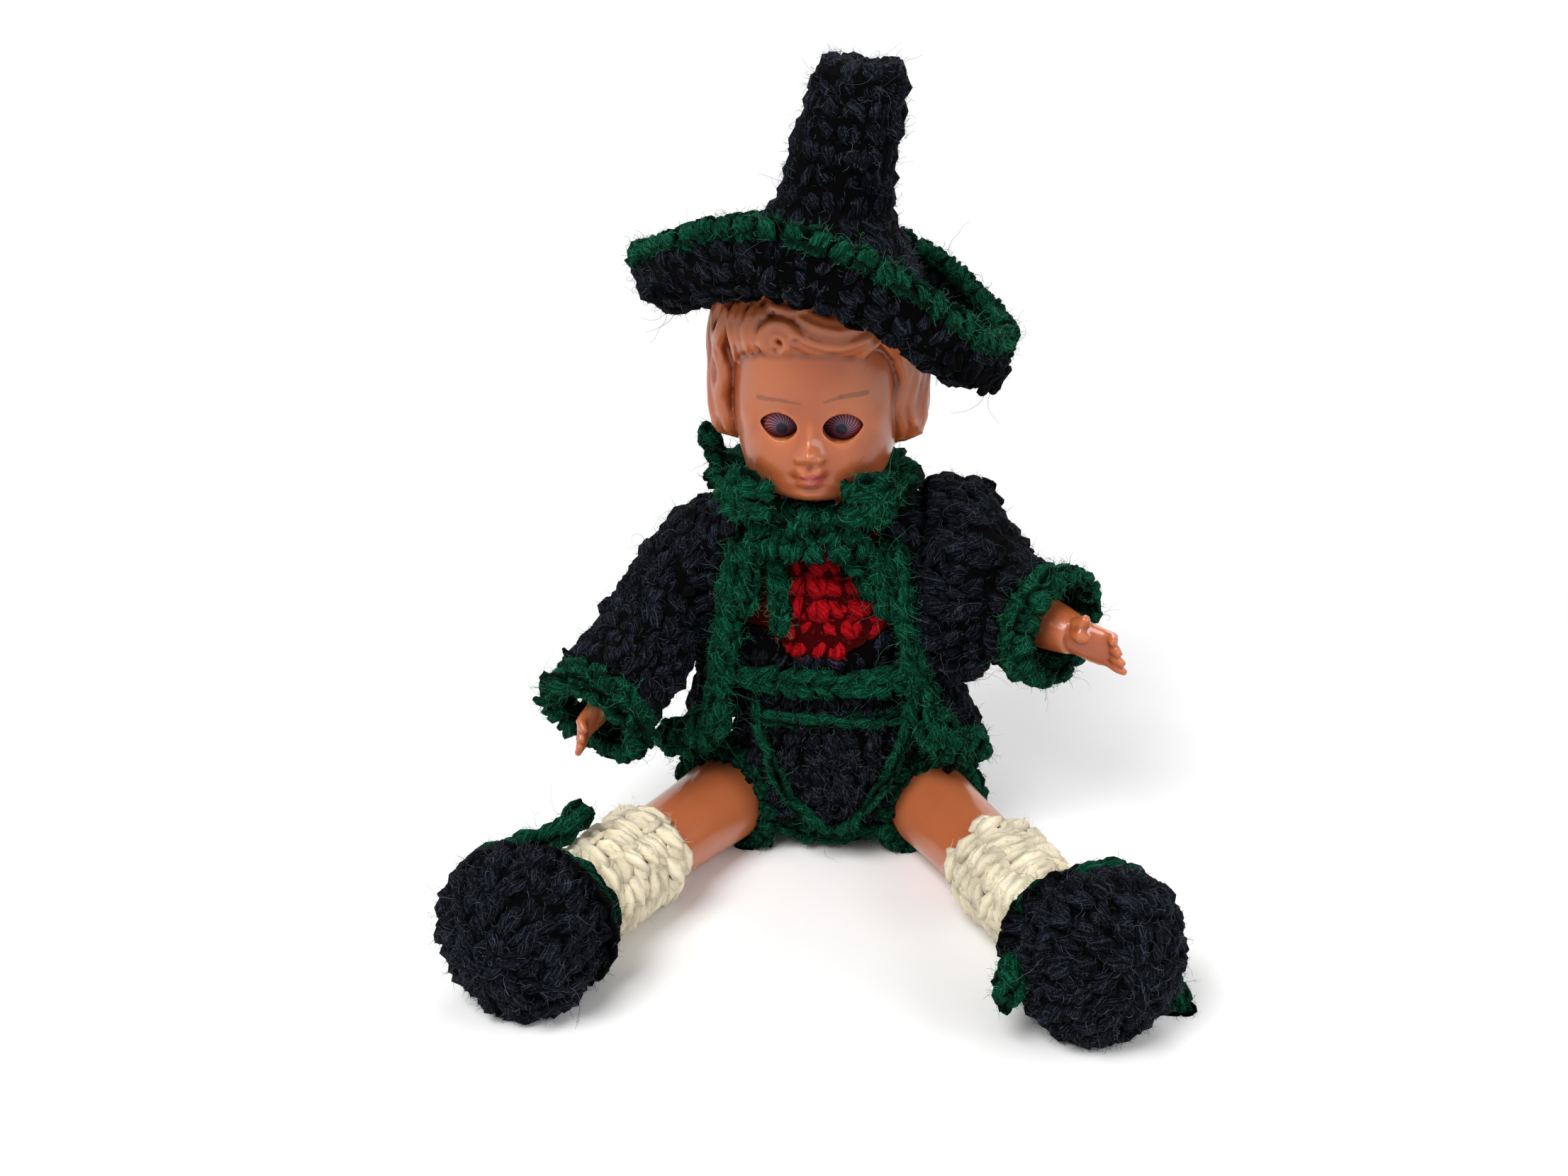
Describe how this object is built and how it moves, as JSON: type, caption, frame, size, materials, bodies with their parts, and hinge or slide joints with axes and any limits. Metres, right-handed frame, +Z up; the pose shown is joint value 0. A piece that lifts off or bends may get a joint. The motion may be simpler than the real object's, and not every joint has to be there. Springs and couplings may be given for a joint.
{
  "type": "celluloid doll",
  "caption": "Small moulded celluloid doll with sleep eyes and strung limbs, sitting, in a crocheted folk costume with a tall-crowned hat, jacket, shorts, socks and shoes.",
  "frame": {"origin": "centre of the flat seat where the shorts rest on the floor", "axes": "+Z up, -Y the way the doll faces, +X the doll's left"},
  "size_m": [0.1202, 0.1071, 0.1434],
  "materials": {
    "celluloid": "moulded celluloid, glossy, slightly translucent",
    "black_yarn": "crocheted wool yarn, fuzzy",
    "green_yarn": "crocheted wool yarn, fuzzy",
    "red_yarn": "crocheted wool yarn, fuzzy",
    "cream_yarn": "crocheted wool yarn, fuzzy",
    "eye": "glossy sleep eye",
    "elastic": "covered elastic cord",
    "wire": "bent steel wire",
    "lead": "dull cast lead",
    "toggle_wood": "plain turned wood",
    "plaster": "dry plaster"
  },
  "bodies": {
    "torso": {"torso_shell": "celluloid", "arm_elastic": "elastic", "leg_elastic": "elastic", "stringing_hook": "wire", "neck_elastic": "elastic", "shorts_body": "black_yarn", "vest": "red_yarn", "shorts_flap": "black_yarn", "flap_piping": "green_yarn", "waistband": "green_yarn", "jacket_back": "black_yarn", "jacket_left_front": "black_yarn", "jacket_right_front": "black_yarn", "jacket_left_edging": "green_yarn", "jacket_right_edging": "green_yarn", "jacket_hem_edging": "green_yarn", "collar": "green_yarn", "collar_tie_long": "green_yarn", "collar_tie_short": "green_yarn", "collar_tie_loop": "green_yarn"},
    "head": {"head_shell": "celluloid", "neck_toggle": "toggle_wood", "left_eye_pivot": "plaster", "right_eye_pivot": "plaster"},
    "eyes": {"left_eye": "eye", "right_eye": "eye", "eye_rocker": "wire", "eye_weight": "lead"},
    "hat": {"hat_crown": "black_yarn", "hat_brim": "black_yarn", "hat_edging": "green_yarn"},
    "left_arm": {"left_arm_shell": "celluloid", "left_arm_hook": "wire", "left_sleeve": "black_yarn", "left_cuff": "green_yarn"},
    "left_leg": {"left_leg_shell": "celluloid", "left_leg_hook": "wire", "left_shorts_leg": "black_yarn", "left_shorts_hem": "green_yarn", "left_sock": "cream_yarn", "left_shoe": "black_yarn", "left_shoe_tie": "green_yarn"},
    "right_arm": {"right_arm_shell": "celluloid", "right_arm_hook": "wire", "right_sleeve": "black_yarn", "right_cuff": "green_yarn"},
    "right_leg": {"right_leg_shell": "celluloid", "right_leg_hook": "wire", "right_shorts_leg": "black_yarn", "right_shorts_hem": "green_yarn", "right_sock": "cream_yarn", "right_shoe": "black_yarn", "right_shoe_tie": "green_yarn"}
  },
  "joints": [
    {"name": "head_turn", "type": "hinge", "parent": "torso", "child": "head", "pos_m": [-0.0029, 0, 0.0643], "axis": [0, 0, 1], "range_deg": [-75, 75]},
    {"name": "eye_tilt", "type": "hinge", "parent": "head", "child": "eyes", "pos_m": [-0.0029, -0.0097, 0.0842], "axis": [1, 0, 0], "range_deg": [0, 60]},
    {"name": "hat_lift", "type": "slide", "parent": "head", "child": "hat", "axis": [0.1045, 0, 0.9945], "range_m": [0, 0.05]},
    {"name": "left_shoulder", "type": "hinge", "parent": "torso", "child": "left_arm", "pos_m": [0.01673, 0.002, 0.05], "axis": [-1, 0, 0], "range_deg": [-87, 80]},
    {"name": "right_shoulder", "type": "hinge", "parent": "torso", "child": "right_arm", "pos_m": [-0.02127, 0.002, 0.05], "axis": [-1, 0, 0], "range_deg": [-35, 100]},
    {"name": "left_hip", "type": "hinge", "parent": "torso", "child": "left_leg", "pos_m": [0.0105, 0, 0.01], "axis": [-0.9263, 0, 0.3768], "range_deg": [-102, 0]},
    {"name": "right_hip", "type": "hinge", "parent": "torso", "child": "right_leg", "pos_m": [-0.0105, 0, 0.01], "axis": [-0.9106, 0, -0.4134], "range_deg": [-105, 0]}
  ]
}
